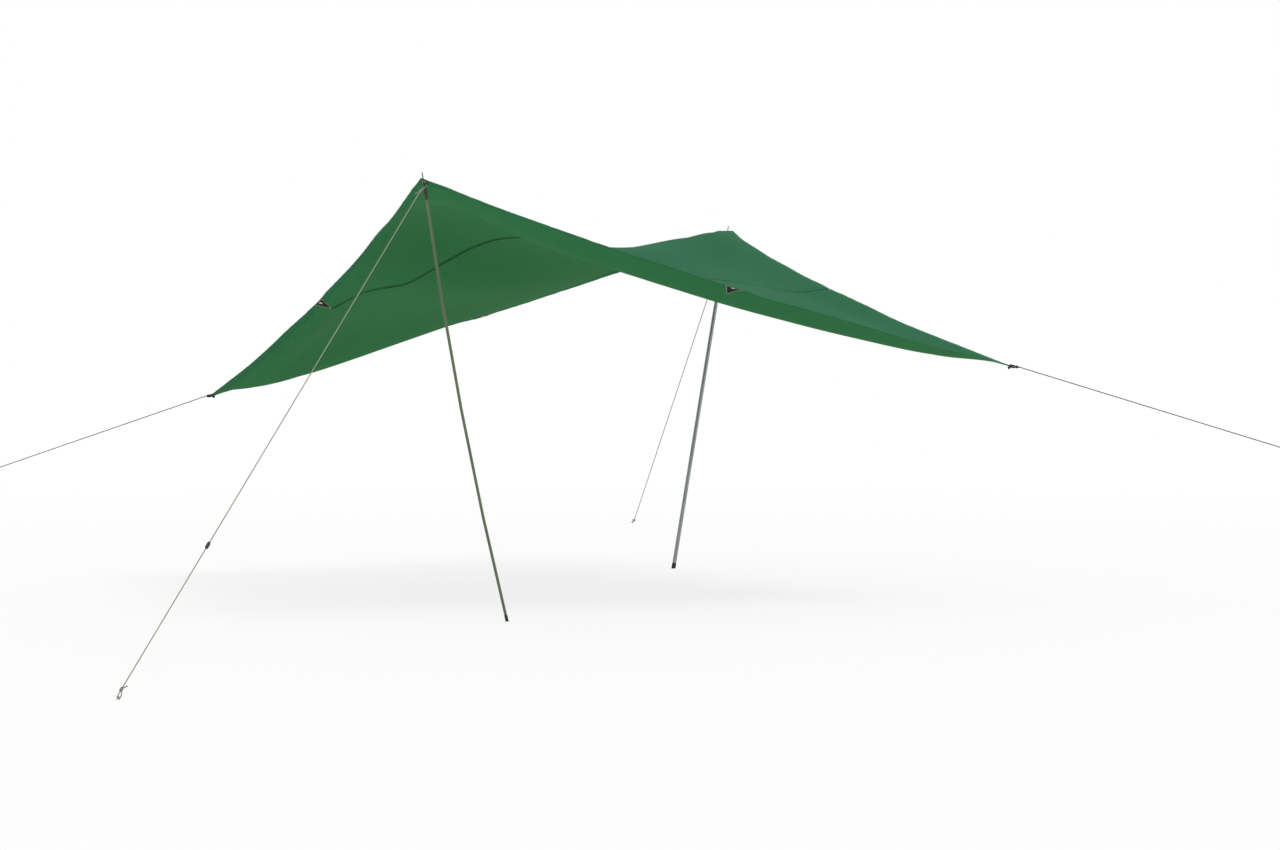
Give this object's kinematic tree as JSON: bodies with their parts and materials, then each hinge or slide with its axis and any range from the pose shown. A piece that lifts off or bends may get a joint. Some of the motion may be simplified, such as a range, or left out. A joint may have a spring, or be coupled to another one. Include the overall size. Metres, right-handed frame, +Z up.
{
  "type": "tarp shelter",
  "caption": "Square cloth shelter pitched as a saddle: two opposite corners on sectional poles, two pulled low, each held by a guy line and a peg.",
  "frame": {"origin": "the flat underside of the near pole's foot, on the ground", "axes": "+Z up, +X along the hem from the near high corner to the right low corner, +Y along the hem from the near high corner to the left low corner"},
  "size_m": [8.7827, 10.0656, 2.2993],
  "materials": {
    "canopy_cloth": "coated plain-weave polyester, soft sheen",
    "hem_binding": "folded and stitched edge",
    "seam_tape": "flat-felled seam",
    "black_patch": "heavy coated cloth",
    "eyelet_metal": "rolled, satin",
    "guy_cord": "braided cord",
    "slider_plastic": "moulded, satin",
    "peg_steel": "galvanised wire",
    "foot_rubber": "moulded",
    "spike_steel": "oiled, turned",
    "spigot_aluminium": "drawn tube",
    "near_pole_tube": "olive anodised, drawn tube",
    "far_pole_tube": "bright drawn tube"
  },
  "bodies": {
    "canopy": {"canopy_near_panel": "canopy_cloth", "canopy_far_panel": "canopy_cloth", "centre_seam_tape": "seam_tape", "hem_near_left": "hem_binding", "hem_far_right": "hem_binding", "hem_right_near": "hem_binding", "hem_left_far": "hem_binding", "corner_patch_near": "hem_binding", "corner_patch_left": "black_patch", "corner_patch_far": "hem_binding", "corner_patch_right": "black_patch", "corner_eyelet_near": "eyelet_metal", "corner_eyelet_left": "eyelet_metal", "corner_eyelet_far": "eyelet_metal", "corner_eyelet_right": "eyelet_metal", "edge_patch_near_left": "black_patch", "edge_patch_left_far": "black_patch", "edge_patch_far_right": "black_patch", "edge_patch_right_near": "black_patch", "edge_eyelet_near_left": "eyelet_metal", "edge_eyelet_left_far": "eyelet_metal", "edge_eyelet_far_right": "eyelet_metal", "edge_eyelet_right_near": "eyelet_metal", "guy_line_near": "guy_cord", "guy_line_far": "guy_cord", "guy_line_left": "guy_cord", "guy_line_right": "guy_cord"},
    "near_pole_top": {"near_pole_tube_4": "near_pole_tube", "near_pole_spike": "spike_steel", "near_pole_spigot_3": "spigot_aluminium"},
    "near_pole_upper": {"near_pole_tube_3": "near_pole_tube", "near_pole_spigot_2": "spigot_aluminium"},
    "near_pole_lower": {"near_pole_tube_2": "near_pole_tube", "near_pole_spigot_1": "spigot_aluminium"},
    "near_pole_base": {"near_pole_tube_1": "near_pole_tube", "near_pole_foot": "foot_rubber"},
    "far_pole_top": {"far_pole_tube_4": "far_pole_tube", "far_pole_spike": "spike_steel", "far_pole_spigot_3": "spigot_aluminium"},
    "far_pole_upper": {"far_pole_tube_3": "far_pole_tube", "far_pole_spigot_2": "spigot_aluminium"},
    "far_pole_lower": {"far_pole_tube_2": "far_pole_tube", "far_pole_spigot_1": "spigot_aluminium"},
    "far_pole_base": {"far_pole_tube_1": "far_pole_tube", "far_pole_foot": "foot_rubber"},
    "slider_near": {"slider_near": "slider_plastic"},
    "peg_near": {"peg_near": "peg_steel"},
    "slider_far": {"slider_far": "slider_plastic"},
    "peg_far": {"peg_far": "peg_steel"},
    "slider_left": {"slider_left": "slider_plastic"},
    "peg_left": {"peg_left": "peg_steel"},
    "slider_right": {"slider_right": "slider_plastic"},
    "peg_right": {"peg_right": "peg_steel"}
  },
  "joints": [
    {"name": "near_pole_swing", "type": "hinge", "parent": "canopy", "child": "near_pole_top", "pos_m": [-0.53174, -0.25843, 2.09545], "axis": [0.7059, -0.7083, 0], "range_deg": [0, 8]},
    {"name": "near_pole_upper_pull", "type": "slide", "parent": "near_pole_top", "child": "near_pole_upper", "axis": [0.2334, 0.1245, -0.9644], "range_m": [0, 0.045]},
    {"name": "near_pole_lower_pull", "type": "slide", "parent": "near_pole_upper", "child": "near_pole_lower", "axis": [0.255, 0.1129, -0.9603], "range_m": [0, 0.045]},
    {"name": "near_pole_base_pull", "type": "slide", "parent": "near_pole_lower", "child": "near_pole_base", "axis": [0.2762, 0.1013, -0.9557], "range_m": [0, 0.045]},
    {"name": "far_pole_swing", "type": "hinge", "parent": "canopy", "child": "far_pole_top", "pos_m": [2.83318, 3.03839, 2.10577], "axis": [-0.9475, 0.3197, 0], "range_deg": [0, 8]},
    {"name": "far_pole_upper_pull", "type": "slide", "parent": "far_pole_top", "child": "far_pole_upper", "axis": [-0.2311, -0.1072, -0.967], "range_m": [0, 0.045]},
    {"name": "far_pole_lower_pull", "type": "slide", "parent": "far_pole_upper", "child": "far_pole_lower", "axis": [-0.2311, -0.1072, -0.967], "range_m": [0, 0.045]},
    {"name": "far_pole_base_pull", "type": "slide", "parent": "far_pole_lower", "child": "far_pole_base", "axis": [-0.2311, -0.1072, -0.967], "range_m": [0, 0.045]},
    {"name": "slider_near_run", "type": "slide", "parent": "canopy", "child": "slider_near", "axis": [0.57, 0.5673, 0.5943], "range_m": [-0.7, 1.6]},
    {"name": "slider_far_run", "type": "slide", "parent": "canopy", "child": "slider_far", "axis": [-0.2931, -0.8661, 0.405], "range_m": [-3.6, 0.5]},
    {"name": "slider_left_run", "type": "slide", "parent": "canopy", "child": "slider_left", "axis": [0.5475, -0.7933, 0.2663], "range_m": [-0.6, 2.6]},
    {"name": "slider_right_run", "type": "slide", "parent": "canopy", "child": "slider_right", "axis": [-0.7771, 0.5549, 0.297], "range_m": [-0.65, 2.6]},
    {"name": "peg_near_pull", "type": "slide", "parent": "canopy", "child": "peg_near", "axis": [-0.354, -0.3531, 0.866], "range_m": [0, 0.15]},
    {"name": "peg_far_pull", "type": "slide", "parent": "canopy", "child": "peg_far", "axis": [0.1579, 0.4744, 0.866], "range_m": [0, 0.15]},
    {"name": "peg_left_pull", "type": "slide", "parent": "canopy", "child": "peg_left", "axis": [-0.2842, 0.4114, 0.866], "range_m": [0, 0.15]},
    {"name": "peg_right_pull", "type": "slide", "parent": "canopy", "child": "peg_right", "axis": [0.4077, -0.2895, 0.866], "range_m": [0, 0.15]}
  ]
}
